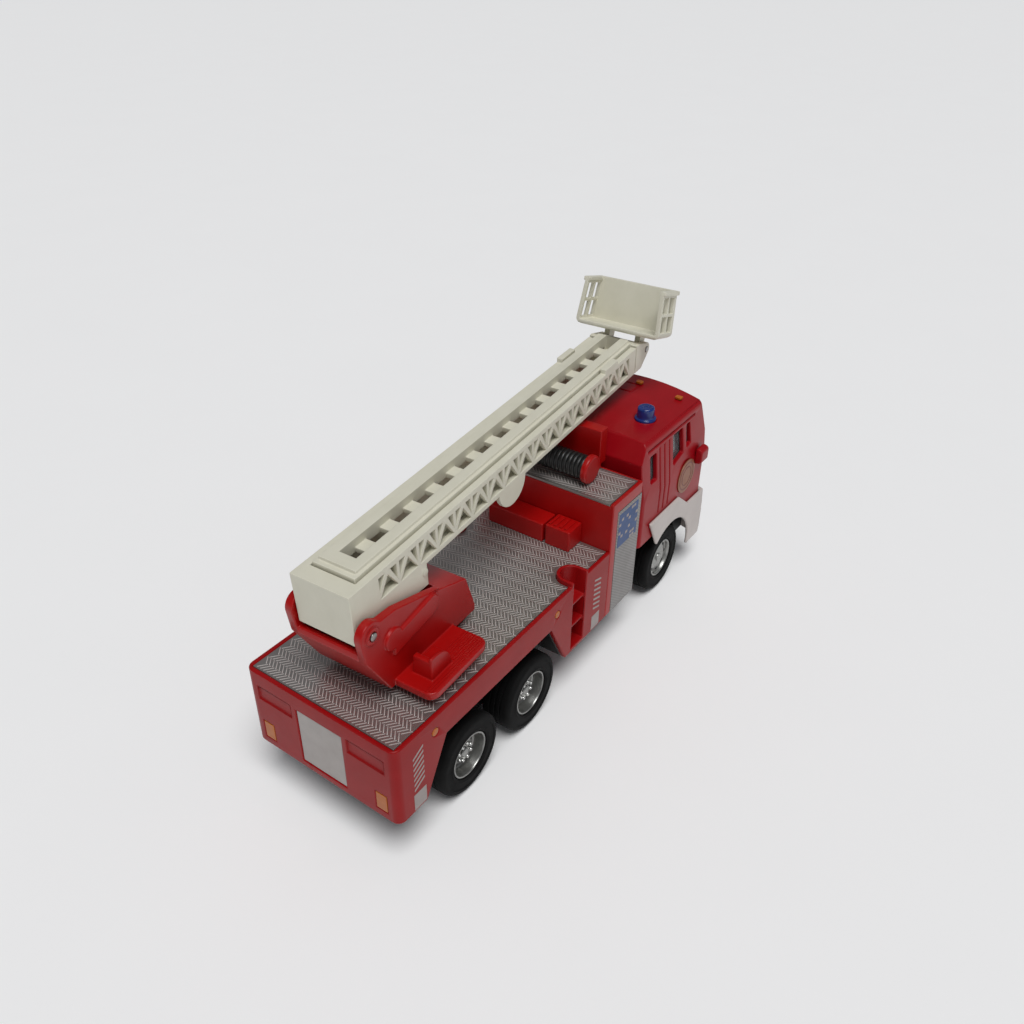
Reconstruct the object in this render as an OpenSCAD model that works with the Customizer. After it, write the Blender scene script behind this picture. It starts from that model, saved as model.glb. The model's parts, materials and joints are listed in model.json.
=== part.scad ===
// Toy fire engine with a swivelling, rising and extending ladder and a rescue bucket.
// X runs forward from the rear face, Y to the left and Z up from the floor, in millimetres.

/* [Rear body] */
// Width of the rear body and the pump box
body_w = 42; // [38:0.5:51]
// Length of the rear body, up to the pump box
body_len = 81.5; // [79:0.5:100]
// Height of the body's rim around the tread deck
deck_z = 33.5; // [32.5:0.5:41]
// Height of the lower edge of the body's sides
skirt_z = 12.4; // [10:0.2:15]
// Wall of the rear body and the pump box
wall = 1.4; // [1:0.1:1.8]
// Thickness of the tread plates
tread_t = 0.6; // [0.4:0.1:0.8]

/* [Pump box] */
// Length of the pump box
pump_len = 14.8; // [13.5:0.1:18]
// Height of the pump box
pump_z = 47.4; // [42:0.2:50]
// Radius of the hose reel's flanges
reel_r = 3.8; // [3:0.1:4.6]

/* [Cab] */
// Gap between the pump box and the cab
cab_gap = 2.4; // [2:0.1:3]
// Length of the cab from its rear wall to its nose
cab_len = 41.3; // [36:0.1:50]
// Height of the roof along its middle
roof_z = 55.3; // [53:0.1:56.6]
// Height at which the cab's sides begin to lean in
waist_z = 38; // [35:0.5:40]
// Wall of the cab
cab_wall = 1.3; // [0.9:0.1:1.6]
// Radius of the nose seen from above
bow_r = 60; // [54:1:80]
// How far the bumper stands ahead of the nose
bumper_out = 3; // [2.6:0.1:3.8]

/* [Wheels] */
// Diameter of the tyres
tyre_d = 20.2; // [17:0.2:24]
// Distance between the two rear axles
axle_gap = 24; // [21:0.5:28]
// Width of a rear tyre
rear_tyre_w = 8; // [6.5:0.1:9]
// Width of a front tyre
front_tyre_w = 7; // [5.8:0.1:8.4]
// Diameter of the axle rods
axle_d = 2.4; // [2:0.1:3]

/* [Ladder] */
// Width of the lower ladder section
ladder_w = 14.6; // [12.5:0.1:17.5]
// Height of the lower section's sides
ladder_h = 7.8; // [6.5:0.1:9.4]
// Length of the lower section
ladder_len = 119.5; // [100:0.5:125]
// How far the ladder points to the left at rest
rest_turn = 3.2; // [0:0.1:8]
// How far the ladder is raised at rest
rest_lift = 3.15; // [2.8:0.05:8]
// Spacing of the rungs
rung_gap = 7.65; // [6.5:0.05:9]

/* [Bucket] */
// Width of the bucket
bucket_w = 25.4; // [21.2:0.1:30]
// Depth of the bucket from back to front
bucket_d = 10; // [8.4:0.1:12]
// Height of the bucket
bucket_h = 12.9; // [10.7:0.1:15.5]
// How far the bucket leans forward of the ladder at rest
bucket_lean = 18; // [0:1:25]

/* [Hidden] */
$fn = 48;

// Gap between neighbouring fixed pieces, radial gap of a pin in its bore, and overshoot of a cut
gap = 0.1;
fit = 0.06;
cut = 1;

// Lengthwise places, from the rear face forward
half_w = body_w / 2;
pump_x = body_len;
cab_x = pump_x + pump_len + cab_gap;
nose_x = cab_x + cab_len;
truck_len = nose_x + bumper_out;
tyre_r = tyre_d / 2;
axle_z = tyre_r;
rear_axle_x = 25;
middle_axle_x = rear_axle_x + axle_gap;
front_axle_x = cab_x + 18.5;
pump_front = pump_x + pump_len;

// Wheels: radius of the rims and outer faces of the rear and front wheels
rim_r = 5.8;
rear_y = half_w - 1;
front_y = half_w - 1.4;
rear_dish = 3.2;
front_dish = 1.5;

// Rear wheel arch, a trapezium over both rear wheels
arch_z = tyre_d + 5.9;
arch_rear = rear_axle_x - tyre_r - 6.1;
arch_front = middle_axle_x + tyre_r + 3;
arch_slope = 7;
liner_t = 0.8;

// Deck and the boarding-step notch in its side
deck_t = 1.4;
tread_z = deck_z - gap;
deck_top = tread_z - tread_t;
rim_w = 1.1;
step_r = 2.8;
step_x = arch_front + 2.4 + step_r;
step_in = 2.6;
lip_h = 1.1;
step_floor = skirt_z + 1.2;
step_rise = (deck_z + lip_h - step_floor) / 3;
shelf_t = 0.9;
shelf_set = 0.5;

// Rear face, side markers, lockers and the recessed handles
recess = 0.35;
handle_y = [8, 17.8];
handle_z = [skirt_z + 13.6, deck_z - 3.9];
marker_xs = [rear_axle_x - 12.8, arch_front - 4.6];
marker_z = deck_z - 4.1;
marker_r = 0.95;
locker_x = body_len - 6.3;

// Pump box's side panels, hose reel and ladder rest
panel_t = 0.5;
panel_x = pump_x + 2.7;
panel_top = pump_z - 3.4;
reel_x = pump_x + 6;
reel_z = pump_z + reel_r + 0.05;
reel_half = 9.5;
hose_r = reel_r - 0.6;
rest_x = pump_front - 2;

// Chassis spine between the wheels
spine_half = 10;
plate_half = half_w - wall - gap;
spine_z0 = 6.2;
axle_r = axle_d / 2;

// Cab section
cab_half = half_w - 0.6;
lean = 0.106;
crown = 1;
arch_r = tyre_r + 3.1;
cab_low = axle_z + arch_r + 0.7;
chamfer = 3.6;
brow_x = nose_x - 6.2;
sill_z = 41.5;
screen_lean = atan2(4.4, roof_z - sill_z);
fender_t = 0.85;
fender_half = cab_half + gap / 2 + fender_t;
fender_top = cab_low + 6;
bumper_low = 8.6;
spot_z = roof_z - crown + 0.35;
spot_x = cab_x + 15;
spot_y = 11.4;
beacon_r = 2.9;
glass_t = 0.7;
grille_half = 11.5;
grille_z0 = cab_low + 2.6;
grille_z1 = waist_z - 1.4;

// Grooves pressed into the cab: beside the door's pillar, under the roof's edge and round a hatch
groove = 0.3;
groove_w = 0.5;
pillar_xs = [cab_x + 9.8, cab_x + 12.5, cab_x + 15.3];
gutter_z = roof_z - crown - 2.6;
hatch_x = cab_x + 26.3;
hatch_y = -1;
hatch_w = 5.8;

// Turntable and ladder frame
swivel_x = 27;
stub_r = 4;
pedestal_r = 11;
base_z = deck_z + 2.5;
base_t = 1.8;
cheek_in = ladder_w / 2 + 0.45;
cheek_t = 1.95;
cheek_out = cheek_in + cheek_t;
relief = 0.7;
ear_r = 3;
pin_r = 0.9;
pivot_x = 6.4;
pivot_z = deck_z + 19.8;
pivot_t = 2;
pivot_h = -9.66;
side_t = 1.2;
lip_in = 1.7;
lip_t = 1.1;
slide_gap = 0.3;
deep_t = 23;
deep_h = 13.3;
rest_top = pivot_z + 5.2;

// Cheeks of the turntable, from the base's rear edge to the sloping front
cheek_front = 40.8;
slope_x = 28.3;
brow_z = base_z + 10.8;
base_rear = 10.8;
lip_x = 4.2;
lip_z = pivot_z - 5.7;

// Lattice of the ladder's sides and the round tab under them
lattice_x = 8;
lattice_n = 17;
lattice_pitch = (ladder_len - 3.5 - lattice_x) / lattice_n;
lattice_z0 = -ladder_h + 1.3;
lattice_z1 = -1.4;
tab_t = 56;
tab_r = 5.6;

// Upper section, its head and the bucket's hinge
upper_x = 4.2;
upper_half = ladder_w / 2 - lip_in - slide_gap;
upper_top = 1.5;
slot_half = 2.1;
rung_top = -0.5;
rung_low = -1.8;
hinge_t = ladder_len + 7;
hinge_h = -3.2;
hinge_pin_r = 0.8;
lug_r = 1.8;
lug_t = 1.6;
fork_t = 1.5;
lug_out = ladder_w / 2 - fork_t - 0.3;
floor_h = 3.85;
floor_back = -6.9;
taper = 1;
bucket_wall = 1.2;

// Points of a polygon whose corners are rounded: each point is [x, y, radius]
function unit(v) = v / norm(v);
function rounded(p, n = 5) = [for (i = [0:len(p) - 1])
    let (
        a = p[(i + len(p) - 1) % len(p)],
        b = p[i],
        c = p[(i + 1) % len(p)],
        corner = [b.x, b.y],
        u = unit([a.x - b.x, a.y - b.y]),
        v = unit([c.x - b.x, c.y - b.y]),
        half = acos(u * v) / 2,
        mid = corner + unit(u + v) * b[2] / sin(half),
        start = corner + u * b[2] / tan(half) - mid,
        end = corner + v * b[2] / tan(half) - mid,
        a0 = atan2(start.y, start.x),
        turn = (atan2(end.y, end.x) - a0 + 540) % 360 - 180
    )
    each b[2] == 0 ? [corner] : [for (k = [0:n]) mid + b[2]
        * [cos(a0 + turn * k / n), sin(a0 + turn * k / n)]]];

function arc(x, y, r, a0, a1, n = 8) = [for (k = [0:n]) [x, y] + r * [cos(a0 + (a1 - a0) * k / n),
    sin(a0 + (a1 - a0) * k / n)]];

// Puts the truck's middle over the origin
module place() {
    translate([-truck_len / 2, 0, 0]) children();
}

// The room behind a front that is bowed in plan and reaches x in the middle
module bow(x, inset = 0) {
    translate([x - bow_r, 0, 0]) cylinder(h = 2 * deck_z, r = bow_r - inset, $fn = 144);
}

// A flat outline in X and Z, extruded across the truck
module prism_y(y0, y1) {
    translate([0, y1, 0]) rotate([90, 0, 0]) linear_extrude(y1 - y0) children();
}

// A flat outline in Y and Z, extruded along the truck
module prism_x(x0, x1) {
    translate([x0, 0, 0]) rotate([90, 0, 90]) linear_extrude(x1 - x0) children();
}

module block(x0, x1, y0, y1, z0, z1) {
    translate([x0, y0, z0]) cube([x1 - x0, y1 - y0, z1 - z0]);
}

module rod_y(x, z, r, y0, y1) {
    translate([x, y1, z]) rotate([90, 0, 0]) cylinder(h = y1 - y0, r = r);
}

module both_sides() {
    children();
    mirror([0, 1, 0]) children();
}

// Carries a piece with the turntable's and the ladder's rest angles
module aim() {
    translate([swivel_x, 0, 0]) rotate([0, 0, rest_turn]) translate([-swivel_x, 0, 0]) children();
}

module on_ladder() {
    aim() translate([pivot_x, 0, pivot_z]) rotate([0, -rest_lift, 0])
        translate([-pivot_t, 0, -pivot_h]) children();
}

module on_bucket() {
    on_ladder() translate([hinge_t, 0, hinge_h]) rotate([0, bucket_lean, 0]) children();
}

// ---- Chassis ----

module arch_outline(grow) {
    polygon([
        [arch_rear - grow, skirt_z - cut],
        [arch_rear - grow, skirt_z],
        [arch_rear + arch_slope - grow * 0.7, arch_z + grow],
        [arch_front - arch_slope + grow * 0.7, arch_z + grow],
        [arch_front + grow, skirt_z],
        [arch_front + grow, skirt_z - cut]]);
}

module chassis() {
    color("#17181a") place() difference() {
        union() {
            difference() {
                prism_y(-half_w + wall + gap, half_w - wall - gap) arch_outline(liner_t);
                both_sides() prism_y(spine_half, half_w) arch_outline(0);
                block(0, truck_len, -half_w, half_w, skirt_z - 2 * cut, skirt_z - gap);
            }
            block(9, nose_x - 5, -spine_half, spine_half, spine_z0, skirt_z - gap);
            difference() {
                union() {
                    block(wall + gap, arch_rear, -plate_half, plate_half, skirt_z - gap, skirt_z + 1);
                    block(arch_front, body_len - wall - gap, -plate_half, plate_half,
                        skirt_z - gap, skirt_z + 1);
                    block(body_len + wall + gap, pump_front - wall - gap, -plate_half, plate_half,
                        skirt_z - gap, skirt_z + 1);
                    block(wall + gap, pump_front - wall - gap, -spine_half, spine_half,
                        skirt_z - 2 * gap, skirt_z - gap);
                }
                both_sides() step_well(0.9 + gap, skirt_z - cut, deck_z);
            }
            block(cab_x - 1.8, nose_x - 5, -spine_half, spine_half, spine_z0, cab_low - 0.4);
            block(cab_x - 1.8, cab_x + 5.8, -half_w + 4, half_w - 4, skirt_z - 3, cab_low - 0.4);
            block(cab_x - 1.8, cab_x - 0.3, -half_w + 4, half_w - 4, skirt_z, deck_z);
            block(front_axle_x + tyre_r + 1.2, nose_x - 5, -half_w + 4, half_w - 4,
                skirt_z - 1.4, cab_low - 0.4);
        }
        for (x = [rear_axle_x, middle_axle_x, front_axle_x])
            rod_y(x, axle_z, axle_r + fit, -half_w, half_w);
    }
}

module front_bumper() {
    color("#cfc6bf") place() difference() {
        intersection() {
            prism_y(-fender_half, fender_half) difference() {
                polygon(rounded([
                    [cab_x + 4.6, fender_top, 0.4],
                    [cab_x + 22.2, fender_top, 1],
                    [cab_x + 28.8, cab_low + 0.7, 1.2],
                    [truck_len, cab_low + 0.5, 2.2],
                    [truck_len, bumper_low + 5, 2],
                    [truck_len - 5, bumper_low, 0.6],
                    [truck_len - 12.5, bumper_low, 0],
                    [front_axle_x, axle_z, 0],
                    [cab_x + 9.6, cab_low - 3, 0.4]]));
                translate([front_axle_x, axle_z]) circle(r = arch_r, $fn = 64);
            }
            translate([truck_len - bow_r - 0.4, 0, bumper_low + 6]) rotate([0, -9, 0])
                translate([0, 0, -deck_z]) cylinder(h = 3 * deck_z, r = bow_r, $fn = 144);
            bow(truck_len);
            linear_extrude(deck_z) polygon(rounded([
                [cab_x, -fender_half, 0],
                [truck_len - 3, -fender_half, 3.4],
                [truck_len + cut, -fender_half + 12, 0],
                [truck_len + cut, fender_half - 12, 0],
                [truck_len - 3, fender_half, 3.4],
                [cab_x, fender_half, 0]]));
        }
        intersection() {
            block(cab_x - cut, nose_x + gap, -cab_half - gap / 2, cab_half + gap / 2, 0, 2 * deck_z);
            bow(nose_x + gap);
            linear_extrude(2 * deck_z) polygon(rounded([
                [cab_x - 2 * cut, -cab_half - gap / 2, 0],
                [nose_x - 2.4, -cab_half - gap / 2, 3],
                [nose_x + cut, -cab_half + 9, 0],
                [nose_x + cut, cab_half - 9, 0],
                [nose_x - 2.4, cab_half + gap / 2, 3],
                [cab_x - 2 * cut, cab_half + gap / 2, 0]]));
        }
        both_sides() difference() {
            prism_x(nose_x - 3, truck_len + cut) polygon(lamp_outline(gap));
            bow(truck_len, 1.7);
        }
    }
}

function lamp_outline(grow) = rounded([
    [10.2 - grow, 13 - grow, 0.8],
    [16.4 + grow, 13 - grow, 0.8],
    [16.4 + grow, 17.6 + grow, 0.8],
    [10.2 - grow, 17.6 + grow, 0.8]], 3);

module headlights() {
    color("#dfe3e6") place() both_sides() intersection() {
        prism_x(nose_x - 3, truck_len) polygon(lamp_outline(0));
        difference() {
            bow(truck_len, 0.9);
            bow(truck_len, 1.6);
        }
    }
}

// ---- Cab ----

// The cab's outer block, or the same block drawn in by a wall
module cab_block(inset, low) {
    top = roof_z - inset;
    edge = cab_half - inset;
    shoulder = edge - (top - crown - waist_z) * lean;
    intersection() {
        prism_y(-half_w, half_w) polygon(rounded([
            [cab_x + inset, low, 0],
            [cab_x + inset, roof_z - crown - chamfer - 1, 1.2],
            [cab_x + chamfer + inset * 0.5, top, 1.6],
            [nose_x + cut, top, 0],
            [nose_x + cut, low, 0]]));
        prism_x(cab_x - cut, nose_x + cut) polygon(concat(
            [[-edge, low], [edge, low], [edge, waist_z]],
            arc(shoulder - 2.2, top - crown - 1.7, 2.2, 0, 58, 4),
            [for (y = [10:-5:-10]) [y, top - crown * pow(y / shoulder, 2)]],
            arc(-shoulder + 2.2, top - crown - 1.7, 2.2, 122, 180, 4),
            [[-edge, waist_z]]));
        translate([0, 0, low]) linear_extrude(roof_z) polygon(rounded([
            [cab_x + inset, -edge, max(1.6 - inset, 0.3)],
            [nose_x - 2.6, -edge, 3],
            [nose_x + cut, -edge + 9, 0],
            [nose_x + cut, edge - 9, 0],
            [nose_x - 2.6, edge, 3],
            [cab_x + inset, edge, max(1.6 - inset, 0.3)]]));
        bow(nose_x, inset);
        translate([brow_x - bow_r - inset, 0, top]) rotate([0, -screen_lean, 0])
            translate([0, 0, -2 * roof_z]) cylinder(h = 3 * roof_z, r = bow_r, $fn = 144);
    }
}

module window_outlines() {
    top = roof_z - crown - 3.4;
    polygon(rounded([
        [cab_x + 4.7, 42.2, 0.5],
        [cab_x + 8.2, 42.2, 0.5],
        [cab_x + 8.2, top - 0.8, 0.5],
        [cab_x + 4.7, top - 0.8, 0.5]], 3));
    polygon(rounded([
        [cab_x + 17.8, 41.8, 0.5],
        [cab_x + 24, 43.4, 0.5],
        [cab_x + 23.6, top, 0.5],
        [cab_x + 17.8, top, 0.5]], 3));
    polygon(rounded([
        [cab_x + 25.9, 43.8, 0.4],
        [cab_x + 28.7, 44.4, 0.4],
        [cab_x + 28, top, 0.4],
        [cab_x + 25.9, top, 0.4]], 3));
}

// Room for the grooves, reaching no deeper than the groove's depth
module cab_grooves() {
    difference() {
        union() {
            for (x = pillar_xs)
                block(x, x + groove_w, -half_w, half_w, fender_top + 1, gutter_z - 1);
            block(cab_x + chamfer, brow_x - 4, -half_w, half_w, gutter_z, gutter_z + groove_w);
            difference() {
                block(hatch_x, hatch_x + hatch_w, hatch_y, hatch_y + hatch_w, waist_z, roof_z + cut);
                block(hatch_x + groove_w, hatch_x + hatch_w - groove_w, hatch_y + groove_w,
                    hatch_y + hatch_w - groove_w, waist_z - cut, roof_z + 2 * cut);
            }
        }
        cab_block(groove, cab_low - cut);
    }
}

module cab_shell() {
    color("#8c1016") place() difference() {
        cab_block(0, cab_low);
        cab_block(cab_wall, cab_low - cut);
        prism_y(-half_w - cut, half_w + cut) window_outlines();
        prism_x(brow_x - 8, nose_x + cut) polygon(rounded([
            [-cab_half + 3.6, sill_z + 0.8, 1.2],
            [cab_half - 3.6, sill_z + 0.8, 1.2],
            [cab_half - 4.4, roof_z - crown - 2.6, 1.2],
            [-cab_half + 4.4, roof_z - crown - 2.6, 1.2]]));
        cab_grooves();
        both_sides() translate([spot_x, spot_y, spot_z]) cylinder(h = 3, r = beacon_r + gap);
        difference() {
            block(nose_x - 4, nose_x + cut, -grille_half - gap, grille_half + gap,
                grille_z0 - gap, grille_z1 + gap);
            bow(nose_x, 0.6);
        }
    }
}

module grille() {
    color("#3a3c40") place() intersection() {
        for (k = [0:3]) {
            pitch = (grille_z1 - grille_z0) / 4;
            block(nose_x - 4, nose_x, -grille_half, grille_half,
                grille_z0 + k * pitch + 0.2, grille_z0 + (k + 1) * pitch - 0.2);
        }
        difference() {
            bow(nose_x, 0.1);
            bow(nose_x, 0.58);
        }
    }
}

module cab_glazing() {
    color([0.75, 0.82, 0.85, 0.5]) place() intersection() {
        difference() {
            cab_block(cab_wall + gap, cab_low);
            cab_block(cab_wall + gap + glass_t, cab_low - cut);
        }
        block(cab_x, nose_x, -half_w, half_w, sill_z - 0.6, roof_z - crown - cab_wall - 0.8);
    }
}

module cab_interior() {
    seat_x = cab_x + 10.5;
    inner = cab_half - cab_wall - 1.1;
    floor_z = cab_low + 1.5;
    color("#202226") place() intersection() {
        cab_block(cab_wall + glass_t + 2 * gap, cab_low - cut);
        union() {
            block(cab_x + cab_wall + 0.4, nose_x - 6.4, -inner, inner, cab_low, floor_z);
            block(cab_x + 6.5, nose_x - 7, -spine_half + 1, spine_half - 1, cab_low - 0.4, cab_low);
            block(seat_x, seat_x + 8.5, -inner + 1, inner - 1, floor_z, waist_z - 3);
            block(seat_x, seat_x + 2.4, -inner + 1, inner - 1, waist_z - 3, sill_z + 3.4);
            block(nose_x - 10.4, nose_x - 6.4, -inner, inner, floor_z, sill_z - 2.4);
            translate([nose_x - 11.8, 8.6, sill_z - 2]) rotate([0, 62, 0]) {
                rotate_extrude() translate([2.5, 0]) circle(r = 0.45, $fn = 16);
                translate([0, 0, -0.3]) cylinder(h = 2.6, r = 0.6, $fn = 24);
                block(-2.5, 2.5, -0.35, 0.35, -0.3, 0.3);
            }
        }
    }
}

module mirrors() {
    color("#7c0e14") place() both_sides() {
        intersection() {
            block(nose_x - 10.2, nose_x - 5.8, cab_half - 0.4, cab_half + 2.2, 36.5, 41.5);
            prism_x(0, truck_len) polygon(rounded([
                [cab_half + 0.02, 36.5, 0.3],
                [cab_half + 2.2, 36.9, 1],
                [cab_half + 2.2, 41.1, 1.2],
                [cab_half + 0.02, 41.5, 0.6]]));
        }
    }
}

module door_discs() {
    color("#b98d4d") place() both_sides()
        rod_y(cab_x + 26.2, 34.9, 5.1, cab_half + 0.02, cab_half + 0.32);
}

// ---- Roof lights ----

module beacons() {
    color([0.05, 0.12, 0.5, 0.8]) place() both_sides() translate([spot_x, spot_y, spot_z + 0.02]) {
        cylinder(h = 0.8, r = beacon_r);
        translate([0, 0, 0.8]) rotate_extrude() polygon(concat([[0, 0], [beacon_r - 0.5, 0]],
            arc(beacon_r - 1.1, 2.5, 0.5, 0, 90, 4), [[0, 3]]));
    }
}

module roof_markers() {
    color("#d67c1e") place() for (y = [-13.2, 0, 13.2])
        translate([brow_x - 2.3 - y * y / (2 * bow_r), y,
            roof_z - crown * pow(y / (cab_half - 1.8), 2) + 0.12])
            linear_extrude(0.7) polygon(rounded([
                [-0.8, -1, 0.4], [0.8, -1, 0.4], [0.8, 1, 0.4], [-0.8, 1, 0.4]], 3));
}

// ---- Rear body ----

module step_well(grow, z0, z1) {
    r = step_r + grow;
    translate([0, 0, z0]) linear_extrude(z1 - z0) polygon(concat(
        arc(step_x, half_w - step_in, r, 180, 360, 16), [[step_x + r, half_w], [step_x - r, half_w]]));
}

function shutter_outline(grow) = [
    [-6.3 - grow, skirt_z + 1.9 - grow],
    [6.3 + grow, skirt_z + 1.9 - grow],
    [6.3 + grow, deck_z - 4.4 + grow],
    [-6.3 - grow, deck_z - 4.4 + grow]];

function light_outline(grow) = [
    [14.9 - grow, skirt_z + 2.2 - grow],
    [17.8 + grow, skirt_z + 2.2 - grow],
    [17.8 + grow, skirt_z + 6.9 + grow],
    [14.9 - grow, skirt_z + 6.9 + grow]];

module rear_body() {
    color("#8e1217") place() difference() {
        union() {
            difference() {
                translate([0, 0, skirt_z]) linear_extrude(deck_z - skirt_z) polygon(rounded([
                    [0, -half_w, 2],
                    [body_len, -half_w, 0],
                    [body_len, half_w, 0],
                    [0, half_w, 2]]));
                block(wall, body_len - wall, -half_w + wall, half_w - wall, skirt_z - cut, deck_top - deck_t);
                block(rim_w, body_len + cut, -half_w + rim_w, half_w - rim_w, deck_top, deck_z + cut);
            }
            both_sides() step_well(0.9, skirt_z, deck_z + lip_h);
        }
        both_sides() {
            for (k = [0:2]) {
                z0 = step_floor + k * step_rise;
                z1 = k == 2 ? deck_z + lip_h + cut : z0 + step_rise - shelf_t;
                step_well(0, z0, z1);
                block(step_x - step_r, step_x + step_r, half_w - step_in, half_w + cut, z0, z1);
            }
            block(step_x - step_r, step_x + step_r, half_w - shelf_set, half_w + cut,
                step_floor, deck_z + cut);
        }
        prism_y(-half_w - cut, half_w + cut) arch_outline(0);
        prism_x(-cut, 0.8) polygon(shutter_outline(gap));
        both_sides() prism_x(-cut, 0.8) polygon(light_outline(gap));
        both_sides() block(-cut, recess, handle_y[0], handle_y[1], handle_z[0], handle_z[1]);
        both_sides() for (x = marker_xs) rod_y(x, marker_z, marker_r + gap, half_w - 0.5, half_w + cut);
        translate([swivel_x, 0, skirt_z]) cylinder(h = deck_z, r = stub_r + fit);
    }
}

module side_markers() {
    color("#d0661a") place() both_sides() for (x = marker_xs)
        rod_y(x, marker_z, marker_r, half_w - 0.48, half_w - 0.02);
}

module rear_shutter() {
    color("#8d8f90") place() prism_x(0.2, 0.78) polygon(shutter_outline(0));
}

module rear_lights() {
    color("#c4741f") place() both_sides() prism_x(0, 0.78) polygon(light_outline(0));
}

module tread_deck() {
    color("#b9babc") place() difference() {
        block(rim_w + gap, body_len - gap, -half_w + rim_w + gap, half_w - rim_w - gap, deck_top, tread_z);
        both_sides() step_well(0.9 + gap, deck_top - cut, deck_z + lip_h);
        translate([swivel_x, 0, deck_top - cut]) cylinder(h = 3 * cut, r = stub_r + 0.5);
    }
}

module deck_lockers() {
    color("#b3161b") place() {
        block(locker_x, body_len - gap, -12.4, -5.3, tread_z, tread_z + 5.9);
        block(locker_x, body_len - gap, -4.5, 12.4, tread_z, tread_z + 5.4);
    }
}

// ---- Pump box ----

module pump_box() {
    color("#a9151a") place() difference() {
        block(pump_x, pump_front, -half_w, half_w, skirt_z, pump_z);
        block(pump_x + wall, pump_front - wall, -half_w + wall, half_w - wall, skirt_z - cut,
            pump_z - tread_t - wall);
        block(pump_x - cut, pump_front - 0.6, -half_w + rim_w, half_w - rim_w,
            pump_z - tread_t, pump_z + cut);
        both_sides() block(panel_x, pump_front + cut, half_w - panel_t, half_w + cut,
            skirt_z - cut, panel_top);
    }
}

module pump_tread() {
    color("#b9babc") place() block(pump_x, pump_front - 0.6 - gap, -half_w + rim_w + gap,
        half_w - rim_w - gap, pump_z - tread_t, pump_z);
}

module pump_panels() {
    color("#a8aaab") place() both_sides()
        block(panel_x + gap, pump_front, half_w - panel_t + 0.02, half_w, skirt_z, panel_top - gap);
}

module hose_reel() {
    color("#141414") place() rod_y(reel_x, reel_z, hose_r, -reel_half, reel_half);
}

module reel_flanges() {
    color("#b3161b") place() both_sides() translate([reel_x, reel_half + 0.02, reel_z]) rotate([-90, 0, 0])
        rotate_extrude() polygon(concat([[0, 0], [reel_r, 0]],
            arc(reel_r - 0.6, 1, 0.6, 0, 90, 4), [[0, 1.6]]));
}

module ladder_rest() {
    color("#a9151a") place() {
        block(rest_x, rest_x + 1.3, -9, 9, pump_z, rest_top);
        block(rest_x + 1.3, rest_x + 3.4, -9, 9, pump_z + 1.2, rest_top);
    }
}

// ---- Turntable ----

// Height of the cheeks' sloping upper edge
function cheek_top(x) = base_z + 15.3 - (x - 24.9) * 4.5 / 12.7;

function cheek_outline() = concat(
    [[cheek_front, base_z], [base_rear, base_z], [lip_x, lip_z]],
    arc(pivot_x, pivot_z, ear_r, 184, 60, 10),
    [[pivot_x + 3, pivot_z + 1.6], [13.9, cheek_top(13.9) - 0.6], [24.9, cheek_top(24.9)], [37.6, brow_z]]);

module cylinder_relief(side) {
    top = side * cheek_out;
    y0 = min(top, side * (cheek_out + relief));
    y1 = max(top, side * (cheek_out + relief));
    prism_y(y0, y1) {
        translate([12.2, pivot_z - 4.8]) circle(r = 2.5);
        polygon(concat([[12.6, base_z + 12.9], [12, base_z + 8.4]],
            arc(24.6, base_z + 12.6, 2.4, -80, 80, 6)));
    }
}

module seat() {
    block(17, 22.5, -15.6, -11.6, base_z + base_t, base_z + base_t + 2.2);
    block(15.6, 17, -16.4, -11.6, base_z + base_t, base_z + base_t + 4.6);
    prism_y(-16.4, -15.6) polygon(concat([[15.6, base_z + base_t], [22.5, base_z + base_t]],
        arc(17, base_z + base_t, 5.5, 30, 90, 6), [[15.6, base_z + base_t + 5.5]]));
}

module turntable() {
    color("#b0141a") place() aim() difference() {
        union() {
            translate([swivel_x, 0, 0]) {
                translate([0, 0, deck_z + 0.25]) cylinder(h = base_z - deck_z, r = pedestal_r);
                translate([0, 0, deck_top - deck_t - 1]) cylinder(h = 5, r = stub_r);
                translate([0, 0, deck_top - deck_t - 1.6]) cylinder(h = 1.4, r = stub_r + 1.2);
            }
            block(base_rear, cheek_front, -cheek_out, cheek_out, base_z, base_z + base_t);
            translate([0, 0, base_z]) linear_extrude(base_t) polygon(rounded([
                [12, -cheek_in, 0],
                [12, -19.2, 2.2],
                [32.2, -19.2, 2.2],
                [32.2, -cheek_in, 0]]));
            both_sides() prism_y(cheek_in, cheek_out) polygon(cheek_outline());
            prism_y(-cheek_out, cheek_out) {
                polygon([[lip_x, lip_z], [lip_x + 0.3, lip_z + 1.4], [lip_x + 1.6, lip_z + 1.4],
                    [base_rear + 2, base_z + base_t], [base_rear, base_z]]);
                polygon([[slope_x, base_z], [slope_x, cheek_top(slope_x)], [37.6, brow_z],
                    [cheek_front, base_z + base_t], [cheek_front, base_z]]);
            }
            cylinder_relief(1);
            cylinder_relief(-1);
            both_sides() rod_y(pivot_x, pivot_z, 2, cheek_in, cheek_out + 0.5);
            seat();
        }
        rod_y(pivot_x, pivot_z, pin_r + 0.03, -cheek_out - 2, cheek_out + 2);
        prism_y(-cheek_in, cheek_in) polygon([[slope_x + 1.3, base_z + base_t],
            [slope_x + 1.3, cheek_top(slope_x) - 1.9], [36.8, brow_z - 1.6],
            [cheek_front - 1.8, base_z + base_t]]);
    }
}

module ladder_pin() {
    color("#b4b2ae") place() aim() rod_y(pivot_x, pivot_z, pin_r, -cheek_out - 0.7, cheek_out + 0.7);
}

// ---- Ladder ----

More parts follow.
